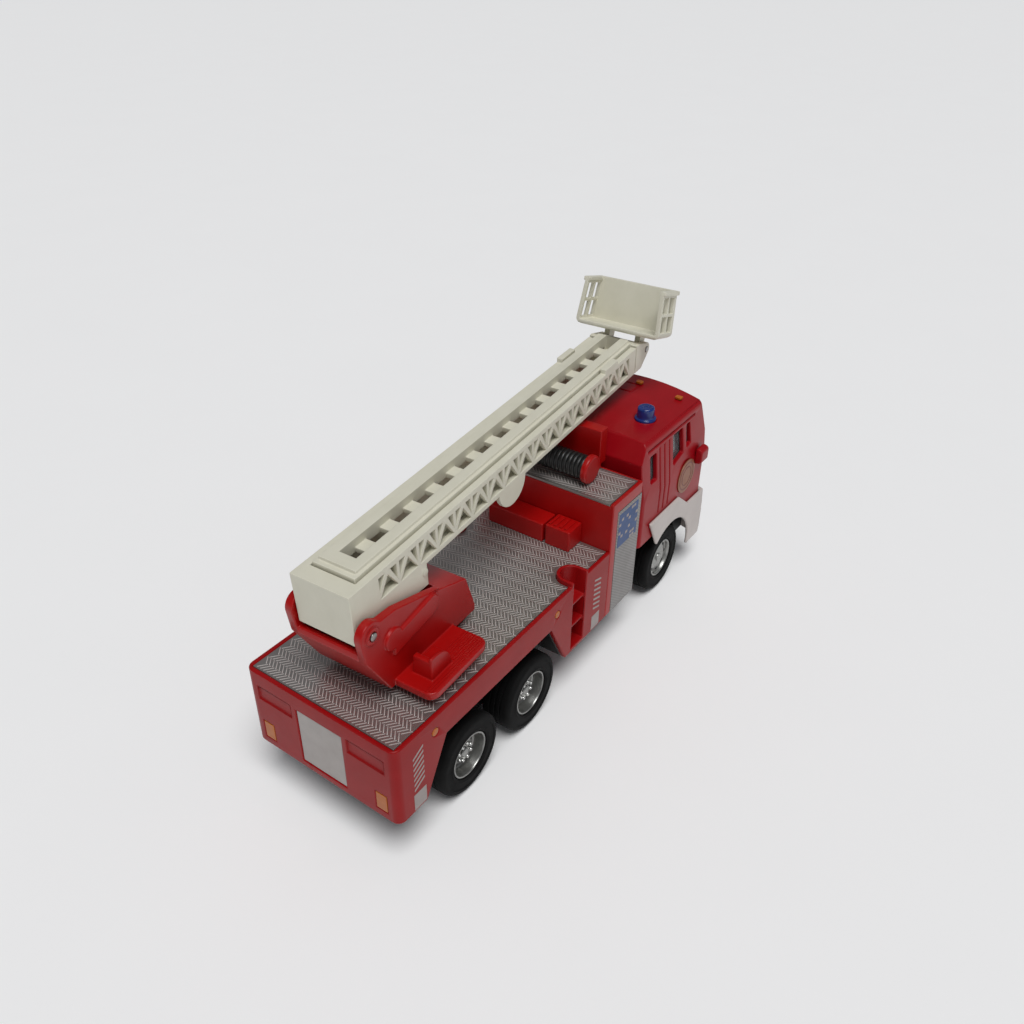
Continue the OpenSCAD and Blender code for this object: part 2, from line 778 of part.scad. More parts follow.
// Openings between the braces of one side: two triangles in each bay
module lattice() {
    bar = 0.45;
    for (k = [0:lattice_n - 1]) {
        x0 = lattice_x + k * lattice_pitch;
        x1 = x0 + lattice_pitch;
        mid = (x0 + x1) / 2;
        polygon([[x0 + bar, lattice_z0], [x1 - bar, lattice_z0], [mid, lattice_z1 - 0.9]]);
        polygon([[x0 + bar, lattice_z1], [x0 + bar, lattice_z0 + 1.6], [mid - 2 * bar, lattice_z1]]);
        polygon([[x1 - bar, lattice_z1], [mid + 2 * bar, lattice_z1], [x1 - bar, lattice_z0 + 1.6]]);
    }
}

module ladder_lower() {
    half = ladder_w / 2;
    color("#cbc8b6") place() on_ladder() difference() {
        union() {
            both_sides() {
                block(0, ladder_len, half - side_t, half, -ladder_h, 0);
                block(0, ladder_len, half - lip_in, half, -lip_t, 0);
                prism_y(half - side_t, half) {
                    polygon([[0, -ladder_h + 0.5], [deep_t, -ladder_h + 0.5], [deep_t, -deep_h],
                        [0, pivot_h - 2.6]]);
                    translate([tab_t, -ladder_h + 0.3]) circle(r = tab_r);
                }
                block(101.5, 108.5, half - lip_in, half, -lip_t, 1.2);
                rod_y(deep_t - 0.9, -9.5, 0.8, half - side_t, half + 0.3);
            }
            block(0, 1.5, -half, half, -12.25, 0);
            block(0, upper_x - slide_gap, -half, half, -lip_t, 0);
            block(0, ladder_len, -half, half, -ladder_h, -ladder_h + 0.9);
        }
        both_sides() prism_y(half - side_t - cut, half + cut) lattice();
        for (k = [0:13])
            block(10 + k * rung_gap, 10 + (k + 0.62) * rung_gap, -half + 2.8, half - 2.8,
                -ladder_h - cut, -ladder_h + 2);
        block(tab_t - tab_r - cut, tab_t + tab_r + cut, -half + side_t, half - side_t,
            -ladder_h - 6, -ladder_h);
        rod_y(pivot_t, pivot_h, pin_r + fit, -half - cut, half + cut);
    }
}

module ladder_upper() {
    half = ladder_w / 2;
    low = -ladder_h + 0.9 + slide_gap;
    flange = half - side_t - slide_gap;
    color("#d3d0be") place() on_ladder() difference() {
        union() {
            block(upper_x, ladder_len + 0.6, -upper_half, upper_half, low, 0.75);
            block(upper_x + 1.2, ladder_len + 0.6, -upper_half + 0.7, upper_half - 0.7, 0, upper_top);
            block(upper_x, ladder_len - 0.4, -flange, flange, -lip_t - slide_gap - 1, -lip_t - slide_gap);
            difference() {
                prism_y(-half, half) polygon(concat(
                    [[ladder_len + 0.4, -ladder_h], [ladder_len + 0.4, 0.4], [ladder_len + 1.6, 0.4]],
                    arc(hinge_t, hinge_h, lug_r + 0.1, 78, -40, 8),
                    [[ladder_len + 6.2, -6.2], [ladder_len + 4.2, -ladder_h]]));
                block(hinge_t - lug_r - 0.5, hinge_t + 2 * lug_r, -half + fork_t, half - fork_t,
                    -ladder_h - cut, 2 * cut);
                block(ladder_len + 1.6, hinge_t - lug_r - 1.5, -half + fork_t, half - fork_t,
                    -ladder_h - cut, -1.6);
            }
        }
        block(upper_x - cut, ladder_len - 0.4, -upper_half + 1.1, upper_half - 1.1, low - cut, rung_low);
        for (k = [0:14])
            block(8.6 + k * rung_gap, 8.6 + (k + 0.56) * rung_gap, -slot_half, slot_half,
                rung_low - cut, upper_top + cut);
        block(8.6, 8.6 + 14.56 * rung_gap, -slot_half, slot_half, rung_top, upper_top + cut);
        rod_y(hinge_t, hinge_h, hinge_pin_r + 0.03, -half - cut, half + cut);
    }
}

module bucket_pin() {
    color("#b4b2ae") place() on_ladder()
        rod_y(hinge_t, hinge_h, hinge_pin_r, -ladder_w / 2 - 0.2, ladder_w / 2 + 0.2);
}

// ---- Bucket ----

// The bucket's section across, drawn in by a wall
function bucket_section(inset) = let (side = bucket_w / 2 - inset) [
    [-side, floor_h + inset, max(1.6 - inset, 0.5)],
    [side, floor_h + inset, max(1.6 - inset, 0.5)],
    [side - taper, floor_h + bucket_h + (inset > 0 ? cut : 0), 0],
    [-side + taper, floor_h + bucket_h + (inset > 0 ? cut : 0), 0]];

module bucket() {
    front = floor_back + bucket_d;
    top = floor_h + bucket_h;
    rim = bucket_w / 2 - taper;
    panel_h = (bucket_h - 4.4) / 2;
    panel_d = (bucket_d - 3.4) / 2;
    color("#cbc8b6") place() on_bucket() difference() {
        union() {
            difference() {
                intersection() {
                    prism_y(-bucket_w, bucket_w) polygon(rounded([
                        [floor_back, floor_h, 0.8],
                        [front, floor_h, 1],
                        [front, top, 0],
                        [floor_back, top, 0]]));
                    prism_x(floor_back - cut, front + cut) polygon(rounded(bucket_section(0)));
                }
                prism_x(floor_back - cut, front - bucket_wall) polygon(rounded(bucket_section(bucket_wall)));
            }
            both_sides() block(floor_back, front + 0.7, rim - bucket_wall, rim + 0.5, top - 1.1, top);
            block(front - bucket_wall, front + 0.7, -rim - 0.5, rim + 0.5, top - 1.1, top);
            both_sides() {
                rod_y(0, 0, lug_r, lug_out - lug_t, lug_out);
                block(-lug_r, lug_r, lug_out - lug_t, lug_out, 0, floor_h + 0.5);
            }
        }
        for (i = [0:1])
            for (j = [0:1])
                both_sides() {
                    x = floor_back + 1 + i * (panel_d + 0.9);
                    z = floor_h + 1.9 + j * (panel_h + 0.8);
                    block(x, x + panel_d, rim - bucket_wall - cut, bucket_w / 2 + cut, z, z + panel_h);
                }
        both_sides() rod_y(0, 0, hinge_pin_r + fit, lug_out - lug_t - cut, lug_out + cut);
    }
}

// ---- Wheels ----

// One wheel's pieces are drawn about the Y axis with the outer face at y = outer
module wheel_part(x, outer) {
    both_sides() translate([x, outer, axle_z]) rotate([90, 0, 0]) children();
}

module tyre(width) {
    shoulder = 1.3;
    rotate_extrude($fn = 96) polygon(concat(
        [[rim_r, 0.5], [rim_r + 0.9, 0]],
        arc(tyre_r - shoulder, shoulder, shoulder, -90, 0, 5),
        arc(tyre_r - shoulder, width - shoulder, shoulder, 0, 90, 5),
        [[rim_r, width]]));
}

module rim(width, dish, hub) {
    r = rim_r - 0.03;
    rotate_extrude($fn = 96) polygon([
        [axle_r + 0.02, dish - hub], [1.9, dish - hub], [2.4, dish], [r - 0.9, dish], [r - 0.5, 0.35],
        [r, 0.35], [r, width], [r - 0.8, width], [r - 0.8, dish + 1.2], [axle_r + 0.02, dish + 1.2]]);
}

module axle(x, outer, dish) {
    place() rod_y(x, axle_z, axle_r, -outer + dish, outer - dish);
}

module front_axle() {
    color("#9a9b9d") axle(front_axle_x, front_y, front_dish - 0.1);
}

module front_tyres() {
    color("#161616") place() wheel_part(front_axle_x, front_y) tyre(front_tyre_w);
}

module front_rims() {
    color("#c9cbcd") place() wheel_part(front_axle_x, front_y) rim(front_tyre_w - 0.4, front_dish, 0.9);
}

module middle_axle() {
    color("#9a9b9d") axle(middle_axle_x, rear_y, rear_dish - 1);
}

module middle_tyres() {
    color("#161616") place() wheel_part(middle_axle_x, rear_y) tyre(rear_tyre_w);
}

module middle_rims() {
    color("#c9cbcd") place() wheel_part(middle_axle_x, rear_y) rim(rear_tyre_w - 0.4, rear_dish, 2);
}

module rear_axle() {
    color("#9a9b9d") axle(rear_axle_x, rear_y, rear_dish - 1);
}

module rear_tyres() {
    color("#161616") place() wheel_part(rear_axle_x, rear_y) tyre(rear_tyre_w);
}

module rear_rims() {
    color("#c9cbcd") place() wheel_part(rear_axle_x, rear_y) rim(rear_tyre_w - 0.4, rear_dish, 2);
}

chassis();
front_bumper();
cab_shell();
cab_glazing();
cab_interior();
grille();
headlights();
mirrors();
door_discs();
beacons();
roof_markers();
rear_body();
tread_deck();
deck_lockers();
rear_shutter();
rear_lights();
side_markers();
pump_box();
pump_tread();
pump_panels();
hose_reel();
reel_flanges();
ladder_rest();
turntable();
ladder_pin();
ladder_lower();
ladder_upper();
bucket_pin();
bucket();
front_axle();
front_tyres();
front_rims();
middle_axle();
middle_tyres();
middle_rims();
rear_axle();
rear_tyres();
rear_rims();
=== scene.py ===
import json
import math
import bmesh
import bpy
from mathutils import Matrix, Vector


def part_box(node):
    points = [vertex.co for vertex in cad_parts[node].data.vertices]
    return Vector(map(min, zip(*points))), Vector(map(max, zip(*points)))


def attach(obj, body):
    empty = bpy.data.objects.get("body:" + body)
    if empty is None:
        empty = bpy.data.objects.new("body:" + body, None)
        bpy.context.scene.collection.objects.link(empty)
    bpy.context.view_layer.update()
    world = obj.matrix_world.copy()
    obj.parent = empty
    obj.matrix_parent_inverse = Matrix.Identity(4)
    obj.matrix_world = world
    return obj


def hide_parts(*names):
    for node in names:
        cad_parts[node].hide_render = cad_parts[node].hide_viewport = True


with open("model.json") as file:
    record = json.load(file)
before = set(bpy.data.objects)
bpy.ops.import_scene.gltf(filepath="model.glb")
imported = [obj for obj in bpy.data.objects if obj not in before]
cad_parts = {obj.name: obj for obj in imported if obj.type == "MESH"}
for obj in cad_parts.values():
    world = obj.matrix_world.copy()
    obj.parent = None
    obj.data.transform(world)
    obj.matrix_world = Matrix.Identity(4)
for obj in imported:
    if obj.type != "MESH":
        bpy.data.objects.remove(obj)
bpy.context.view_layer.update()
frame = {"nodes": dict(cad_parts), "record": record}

# Toy ladder fire engine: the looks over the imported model, in metres, in the model's own frame

MM = 0.001
NODES = frame["nodes"]
RECORD = frame["record"]
BODY_OF = {node: body for body, nodes in RECORD["behaviour"]["bodies"].items() for node in nodes}
JOINTS = {joint["name"]: joint for joint in RECORD["behaviour"]["joints"]}


def corners(node):
    """A node's lowest and highest corners at rest, in millimetres."""
    return [[v / MM for v in corner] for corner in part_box(node)]


DECK_LO, DECK_HI = corners("tread_deck")
PUMP_LO, PUMP_HI = corners("pump_tread")
PANEL_LO, PANEL_HI = corners("pump_panels")
BODY_LO = corners("rear_body")[0]
REAR = BODY_LO[0]


# ---- Node helper and colours ----

def add(tree, kind, inputs=None, **settings):
    """Adds a node, sets it and links or fills its inputs."""
    made = tree.nodes.new(kind)
    for name, value in settings.items():
        setattr(made, name, value)
    for name, value in (inputs or {}).items():
        socket = made.inputs[name]
        if isinstance(value, bpy.types.NodeSocket):
            tree.links.new(value, socket)
        else:
            socket.default_value = value
    return made


def srgb(code):
    """An sRGB hex colour as linear RGBA."""
    channels = [int(code[i:i + 2], 16) / 255 for i in (1, 3, 5)]
    return [c / 12.92 if c <= 0.04045 else ((c + 0.055) / 1.055) ** 2.4 for c in channels] + [1.0]


def blank(name):
    """A new material with its tree, shader and object coordinates."""
    material = bpy.data.materials.new(name)
    material.use_nodes = True
    tree = material.node_tree
    shader = tree.nodes["Principled BSDF"]
    place = add(tree, "ShaderNodeTexCoord").outputs["Object"]
    return material, tree, shader, place


SMEAR_TO_BLOTCH = 2.3  # patches of uneven gloss are this much wider than the blotches of colour
GRAIN_STRENGTH = 0.25
NOISE_LOW, NOISE_HIGH = 0.3, 0.7  # most of a noise texture's values lie between these


def finish_surface(tree, shader, place, light, dark, blotch_mm, rough, rough_spread, grain_mm, grain_depth_mm):
    """Cloudy colour, uneven gloss and a fine grain, each at its real size; returns the colour."""
    blotch = add(tree, "ShaderNodeTexNoise",
                 {"Vector": place, "Scale": 1 / (blotch_mm * MM), "Detail": 3.0, "Roughness": 0.6})
    colour = add(tree, "ShaderNodeMix",
                 {"Factor": blotch.outputs["Fac"], "A": srgb(dark), "B": srgb(light)}, data_type="RGBA")
    smear = add(tree, "ShaderNodeTexNoise",
                {"Vector": place, "Scale": 1 / (SMEAR_TO_BLOTCH * blotch_mm * MM), "Detail": 4.0, "Roughness": 0.7})
    gloss = add(tree, "ShaderNodeMapRange",
                {"Value": smear.outputs["Fac"], "From Min": NOISE_LOW, "From Max": NOISE_HIGH,
                 "To Min": rough - rough_spread, "To Max": rough + rough_spread})
    grain = add(tree, "ShaderNodeTexNoise",
                {"Vector": place, "Scale": 1 / (grain_mm * MM), "Detail": 2.0, "Roughness": 0.5})
    relief = add(tree, "ShaderNodeBump",
                 {"Height": grain.outputs["Fac"], "Strength": GRAIN_STRENGTH, "Distance": grain_depth_mm * MM})
    tree.links.new(colour.outputs["Result"], shader.inputs["Base Color"])
    tree.links.new(gloss.outputs["Result"], shader.inputs["Roughness"])
    tree.links.new(relief.outputs["Normal"], shader.inputs["Normal"])
    return colour.outputs["Result"]


# ---- Finishes ----

def crimson_enamel():
    """Sprayed enamel over cast metal: deep, glossy, with slight orange peel."""
    material, tree, shader, place = blank("crimson_enamel")
    finish_surface(tree, shader, place, light="#a00b17", dark="#8a060f", blotch_mm=9.0, rough=0.32,
                   rough_spread=0.05, grain_mm=1.1, grain_depth_mm=0.02)
    shader.inputs["IOR"].default_value = 1.5
    # Kept low, so that a pale room does not bleach the red
    shader.inputs["Specular IOR Level"].default_value = 0.2
    return material


def dull_enamel():
    """The same enamel on the rear body, rubbed by handling: a little flatter and greyer."""
    material, tree, shader, place = blank("rubbed_enamel")
    finish_surface(tree, shader, place, light="#9c0f12", dark="#86090b", blotch_mm=7.0, rough=0.36,
                   rough_spread=0.06, grain_mm=0.9, grain_depth_mm=0.02)
    shader.inputs["IOR"].default_value = 1.5
    shader.inputs["Specular IOR Level"].default_value = 0.18
    return material


def red_abs():
    """Injection-moulded ABS: bright, satin, faintly rippled by the mould."""
    material, tree, shader, place = blank("red_abs")
    finish_surface(tree, shader, place, light="#ab0b0a", dark="#960605", blotch_mm=6.0, rough=0.34,
                   rough_spread=0.05, grain_mm=0.7, grain_depth_mm=0.015)
    shader.inputs["IOR"].default_value = 1.54
    shader.inputs["Specular IOR Level"].default_value = 0.3
    return material


def ivory_abs():
    """Injection-moulded ABS in ivory: satin, slightly yellowed and mottled by handling."""
    material, tree, shader, place = blank("ivory_abs")
    finish_surface(tree, shader, place, light="#dddac9", dark="#cfccb9", blotch_mm=5.0, rough=0.46,
                   rough_spread=0.06, grain_mm=0.6, grain_depth_mm=0.02)
    shader.inputs["IOR"].default_value = 1.54
    return material


def pale_abs():
    """The bumper's ABS: off-white with a faint pink-grey tone, satin."""
    material, tree, shader, place = blank("pale_abs")
    finish_surface(tree, shader, place, light="#cbc2bd", dark="#b8aea9", blotch_mm=6.0, rough=0.36,
                   rough_spread=0.06, grain_mm=0.7, grain_depth_mm=0.015)
    shader.inputs["IOR"].default_value = 1.54
    return material


def black_pp():
    """Moulded polypropylene: black, waxy and lightly pebbled."""
    material, tree, shader, place = blank("black_polypropylene")
    finish_surface(tree, shader, place, light="#0e0e0f", dark="#070708", blotch_mm=5.0, rough=0.55,
                   rough_spread=0.08, grain_mm=0.5, grain_depth_mm=0.03)
    shader.inputs["IOR"].default_value = 1.49
    return material


def tyre_pvc():
    """Soft PVC: charcoal black, matt, dusty in its grain."""
    material, tree, shader, place = blank("soft_pvc_tyre")
    finish_surface(tree, shader, place, light="#080808", dark="#040404", blotch_mm=3.0, rough=0.8,
                   rough_spread=0.08, grain_mm=0.45, grain_depth_mm=0.05)
    shader.inputs["IOR"].default_value = 1.53
    shader.inputs["Specular IOR Level"].default_value = 0.2
    return material


def hose_rubber():
    """The reel's hose: black and rubbery, with a soft sheen along each turn."""
    material, tree, shader, place = blank("hose_rubber")
    finish_surface(tree, shader, place, light="#141414", dark="#090909", blotch_mm=2.0, rough=0.45,
                   rough_spread=0.08, grain_mm=0.4, grain_depth_mm=0.03)
    shader.inputs["IOR"].default_value = 1.52
    return material


def silver_print():
    """Silver ink over plastic: metallic grey, soft and slightly speckled."""
    material, tree, shader, place = blank("silver_ink")
    finish_surface(tree, shader, place, light="#aba6a3", dark="#98938f", blotch_mm=3.5, rough=0.34,
                   rough_spread=0.06, grain_mm=0.35, grain_depth_mm=0.02)
    shader.inputs["Metallic"].default_value = 0.8
    return material


def tread_print():
    """The raised dashes of the tread plate, where the silver ink is thickest and catches the light."""
    material, tree, shader, place = blank("tread_silver_ink")
    finish_surface(tree, shader, place, light="#d9d3cf", dark="#c0b9b5", blotch_mm=2.5, rough=0.34,
                   rough_spread=0.07, grain_mm=0.35, grain_depth_mm=0.02)
    shader.inputs["Metallic"].default_value = 0.4
    return material


def locker_print():
    """The pump's side panels: silver ink ruled with fine slanting lines, about 0.7 mm apart."""
    material, tree, shader, place = blank("ruled_silver_ink")
    colour = finish_surface(tree, shader, place, light="#93918f", dark="#7f7c7a", blotch_mm=3.5, rough=0.46,
                            rough_spread=0.07, grain_mm=0.35, grain_depth_mm=0.02)
    line_gap_mm, line_lean, line_dark, line_light = 0.7, math.radians(52), 0.84, 1.12
    turned = add(tree, "ShaderNodeMapping", {"Vector": place, "Rotation": (0.0, line_lean, 0.0)})
    # A wave texture of scale s repeats every 2 pi / (20 s)
    lines = add(tree, "ShaderNodeTexWave",
                {"Vector": turned.outputs["Vector"], "Scale": 2 * math.pi / (20 * line_gap_mm * MM),
                 "Distortion": 0.6, "Detail": 1.0}, bands_direction="X")
    shade = add(tree, "ShaderNodeMapRange",
                {"Value": lines.outputs["Fac"], "To Min": line_dark, "To Max": line_light})
    ruled = add(tree, "ShaderNodeVectorMath", {0: colour, "Scale": shade.outputs["Result"]}, operation="SCALE")
    tree.links.new(ruled.outputs["Vector"], shader.inputs["Base Color"])
    shader.inputs["Metallic"].default_value = 0.35
    return material


def plated(name, light, dark, rough):
    """Vacuum-plated plastic: a bright skin that shows the moulding's ripple."""
    material, tree, shader, place = blank(name)
    finish_surface(tree, shader, place, light=light, dark=dark, blotch_mm=3.0, rough=rough,
                   rough_spread=0.06, grain_mm=0.5, grain_depth_mm=0.02)
    shader.inputs["Metallic"].default_value = 0.9
    return material


def drawn_steel():
    """Drawn steel rod, cut and left bare: grey and satin, with a fine grain."""
    material, tree, shader, place = blank("drawn_steel")
    finish_surface(tree, shader, place, light="#a9a7a4", dark="#8d8b88", blotch_mm=2.0, rough=0.34,
                   rough_spread=0.08, grain_mm=0.3, grain_depth_mm=0.02)
    shader.inputs["Metallic"].default_value = 1.0
    return material


def clear_ps():
    """Clear polystyrene window moulding: thin, faintly smoky."""
    material, tree, shader, place = blank("clear_polystyrene")
    finish_surface(tree, shader, place, light="#8d9699", dark="#7b8589", blotch_mm=8.0, rough=0.1,
                   rough_spread=0.04, grain_mm=1.0, grain_depth_mm=0.01)
    shader.inputs["IOR"].default_value = 1.59
    shader.inputs["Transmission Weight"].default_value = 0.6
    shader.inputs["Alpha"].default_value = 0.8
    return material


def blue_lens():
    """Tinted polystyrene lens: deep blue, glossy, only faintly clear."""
    material, tree, shader, place = blank("blue_lens_plastic")
    finish_surface(tree, shader, place, light="#0b3a92", dark="#061a52", blotch_mm=2.0, rough=0.22,
                   rough_spread=0.05, grain_mm=0.6, grain_depth_mm=0.01)
    shader.inputs["IOR"].default_value = 1.59
    shader.inputs["Transmission Weight"].default_value = 0.12
    return material


def amber_ink():
    """Amber tampo ink on a moulded lamp: opaque, satin, slightly uneven at its edges."""
    material, tree, shader, place = blank("amber_ink")
    finish_surface(tree, shader, place, light="#c26c12", dark="#a24f0a", blotch_mm=1.5, rough=0.4,
                   rough_spread=0.06, grain_mm=0.4, grain_depth_mm=0.015)
    return material


def gold_ink(name, light, dark):
    """Gold tampo ink: pale bronze with metal flake."""
    material, tree, shader, place = blank(name)
    finish_surface(tree, shader, place, light=light, dark=dark, blotch_mm=1.6, rough=0.42,
                   rough_spread=0.07, grain_mm=0.3, grain_depth_mm=0.015)
    shader.inputs["Metallic"].default_value = 0.35
    return material


def flat_ink(name, light, dark):
    """Plain tampo ink: thin, satin and a little patchy."""
    material, tree, shader, place = blank(name)
    finish_surface(tree, shader, place, light=light, dark=dark, blotch_mm=2.0, rough=0.42,
                   rough_spread=0.06, grain_mm=0.35, grain_depth_mm=0.01)
    return material


CRIMSON = crimson_enamel()
RUBBED = dull_enamel()
RED = red_abs()
IVORY = ivory_abs()
PALE = pale_abs()
BLACK = black_pp()
TYRE = tyre_pvc()
HOSE = hose_rubber()
SILVER = silver_print()
TREAD = tread_print()
RULED = locker_print()
RIM_DARK = plated("dark_plating", "#a3a3a0", "#858583", 0.34)
RIM_LIGHT = plated("light_plating", "#b4b4b1", "#90908d", 0.34)
STUD = plated("bright_plating", "#d8d8d5", "#bcbcb9", 0.22)
STEEL = drawn_steel()
CLEAR = clear_ps()
BLUE_LENS = blue_lens()
AMBER = amber_ink()
GOLD = gold_ink("gold_ink", "#9a6648", "#84503a")
GOLD_DARK = gold_ink("dark_gold_ink", "#7d4234", "#6a3028")
WHITE_INK = flat_ink("white_ink", "#a79c98", "#8d827f")
BLUE_INK = flat_ink("blue_ink", "#1c4a86", "#143766")


# ---- Mesh helpers ----

def settle(bm, name, body, material, stands_for=(), smooth_deg=40, even=True):
    """Makes a piece of a finished bmesh, with its finish, its body and the nodes it stands for."""
    mesh = bpy.data.meshes.new(name)
    bm.to_mesh(mesh)
    bm.free()
    mesh.shade_smooth()
    mesh.set_sharp_from_angle(angle=math.radians(smooth_deg))
    mesh.materials.append(material)
    piece = bpy.data.objects.new(name, mesh)
    bpy.context.scene.collection.objects.link(piece)
    if even:
        weigh = piece.modifiers.new("even_shading", "WEIGHTED_NORMAL")
        weigh.keep_sharp = True
    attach(piece, body)
    if stands_for:
        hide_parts(*stands_for)


WELD = 2e-6  # joins the loose corners of a node's triangles
SHARP = math.radians(30)


def softened(node, material, width):
    """A node's own shape with its moulded edges rounded by a width in millimetres."""
    bm = bmesh.new()
    bm.from_mesh(NODES[node].data)
    bmesh.ops.remove_doubles(bm, verts=bm.verts, dist=WELD)
    edges = [e for e in bm.edges if e.is_manifold and e.calc_face_angle(0) > SHARP]
    bmesh.ops.bevel(bm, geom=edges, offset=width * MM, offset_type="OFFSET", affect="EDGES",
                    segments=2, profile=0.5, material=-1, clamp_overlap=False)
    settle(bm, node + "_moulding", BODY_OF[node], material, (node,))


def add_box(bm, low, high, bevel=0.0):
    """Adds a box between two corners in millimetres, with its edges rounded; returns its vertices."""
    low, high = Vector(low), Vector(high)
    verts = bmesh.ops.create_cube(bm, size=1.0)["verts"]
    bmesh.ops.scale(bm, vec=(high - low) * MM, verts=verts)
    bmesh.ops.translate(bm, vec=(high + low) / 2 * MM, verts=verts)
    if bevel:
        edges = list({e for v in verts for e in v.link_edges})
        rounded = bmesh.ops.bevel(bm, geom=edges, offset=bevel * MM, offset_type="OFFSET", affect="EDGES",
                                  segments=2, profile=0.5, material=-1, clamp_overlap=True)
        verts = list({v for f in rounded["faces"] for v in f.verts} | {v for v in verts if v.is_valid})
    return verts


def add_lathe(bm, profile, centre, steps=64):
    """Spins a closed or open (radius, y) profile in millimetres about a line along Y through centre."""
    verts = [bm.verts.new(Vector((centre[0] + r, centre[1] + y, centre[2])) * MM) for r, y in profile]
    edges = [bm.edges.new(pair) for pair in zip(verts, verts[1:])]
    before = set(bm.verts)
    bmesh.ops.spin(bm, geom=verts + edges, cent=Vector(centre) * MM, axis=(0, 1, 0), dvec=(0, 0, 0),
                   angle=2 * math.pi, steps=steps, use_merge=True, use_duplicate=False)
    grown = [v for v in bm.verts if v not in before] + verts
    bmesh.ops.remove_doubles(bm, verts=[v for v in grown if v.is_valid], dist=1e-7)


def mirrored(bm):
    """Adds the same shapes on the truck's other side."""
    copy = bmesh.ops.duplicate(bm, geom=bm.verts[:] + bm.edges[:] + bm.faces[:])
    verts = [g for g in copy["geom"] if isinstance(g, bmesh.types.BMVert)]
    faces = [g for g in copy["geom"] if isinstance(g, bmesh.types.BMFace)]
    bmesh.ops.scale(bm, vec=(1, -1, 1), verts=verts)
    bmesh.ops.reverse_faces(bm, faces=faces)


# ---- Tread plates ----

# A dash's length, width and height, its pitch across the truck and the column it repeats in along it
DASH_LENGTH, DASH_WIDTH, DASH_HEIGHT, DASH_PITCH, DASH_COLUMN = 2.5, 0.3, 0.1, 0.98, 1.75
DASH_TURN = 38  # degrees off the truck's line, to one side and then the other
DASH_TOP_LONG, DASH_TOP_WIDE = 0.86, 0.55  # a dash's top as shares of its foot
DASH_PROUD = 0.04  # how far a dash stands over its plate
DASH_MARGIN = 0.6


def add_dash(bm, centre, turn):
    """One raised dash of a tread plate: a low bar with sloping sides."""
    made = bmesh.ops.create_cube(bm, size=1.0)["verts"]
    for vert in made:
        if vert.co.z > 0:
            vert.co.x *= DASH_TOP_LONG
            vert.co.y *= DASH_TOP_WIDE
    bmesh.ops.scale(bm, vec=Vector((DASH_LENGTH, DASH_WIDTH, DASH_HEIGHT)) * MM, verts=made)
    bmesh.ops.rotate(bm, verts=made, cent=(0, 0, 0), matrix=Matrix.Rotation(math.radians(turn), 3, "Z"))
    bmesh.ops.translate(bm, vec=Vector(centre) * MM, verts=made)


def tread(name, low, high, top, keep_off, node):
    """Herringbone dashes over a plate between low and high, in zigzag rows that run along the truck."""
    bm = bmesh.new()
    columns = int((high[0] - low[0]) / DASH_COLUMN)
    rows = int((high[1] - low[1]) / DASH_PITCH)
    for i in range(columns):
        for j in range(rows):
            x = low[0] + (i + 0.5) * DASH_COLUMN
            y = low[1] + (j + 0.5 + 0.5 * (i % 2)) * DASH_PITCH
            if y > high[1] - DASH_MARGIN or keep_off(x, y):
                continue
            add_dash(bm, (x, y, top + DASH_PROUD - DASH_HEIGHT / 2), DASH_TURN if i % 2 else -DASH_TURN)
    settle(bm, name, BODY_OF[node], TREAD, even=False)


SWIVEL_X = JOINTS["turntable_swivel"]["pos_m"][0] / MM
SWIVEL_CLEAR = 11.8
MARKER_TO_STEP = 8.85  # from the front edge of the front side marker to the middle of the step recess
STEP_X = corners("side_markers")[1][0] + MARKER_TO_STEP
STEP_Y, STEP_CLEAR = 18.4, 5.0


def off_deck(x, y):
    """Whether a place on the deck is under the turntable or over a step recess."""
    near_step = math.hypot(x - STEP_X, abs(y) - STEP_Y) < STEP_CLEAR
    near_swivel = math.hypot(x - SWIVEL_X, y) < SWIVEL_CLEAR
    return near_step or near_swivel


# The dashes stop a little inside each plate's edges
tread("deck_tread_dashes", (DECK_LO[0] + 0.4, DECK_LO[1] + 0.3), (DECK_HI[0] - 0.2, DECK_HI[1] - 0.1),
      DECK_HI[2], off_deck, "tread_deck")
tread("pump_tread_dashes", (PUMP_LO[0] + 0.9, PUMP_LO[1] + 0.6), (PUMP_HI[0] - 0.4, PUMP_HI[1] - 0.4),
      PUMP_HI[2], lambda x, y: False, "pump_tread")
softened("tread_deck", SILVER, 0.1)
softened("pump_tread", SILVER, 0.1)

# ---- Rear body and pump box ----

softened("rear_body", RUBBED, 0.3)
softened("pump_box", RED, 0.3)
softened("pump_panels", RULED, 0.08)
softened("deck_lockers", RED, 0.35)
softened("ladder_rest", RED, 0.25)
softened("rear_shutter", SILVER, 0.12)
softened("rear_lights", AMBER, 0.15)
softened("side_markers", AMBER, 0.12)
softened("chassis", BLACK, 0.25)


def locker_lid_ribs():
    """Four shallow ribs across the right-hand locker's lid."""
    low, high = corners("deck_lockers")
    count, first, pitch, width, inset, sunk, rise = 4, 1.2, 1.55, 0.75, 0.7, 0.1, 0.35
    bm = bmesh.new()
    for k in range(count):
        y = low[1] + first + k * pitch
        add_box(bm, (low[0] + inset, y, high[2] - sunk), (high[0] - inset, y + width, high[2] + rise), 0.15)
    settle(bm, "locker_lid_ribs", "truck", RED)


locker_lid_ribs()


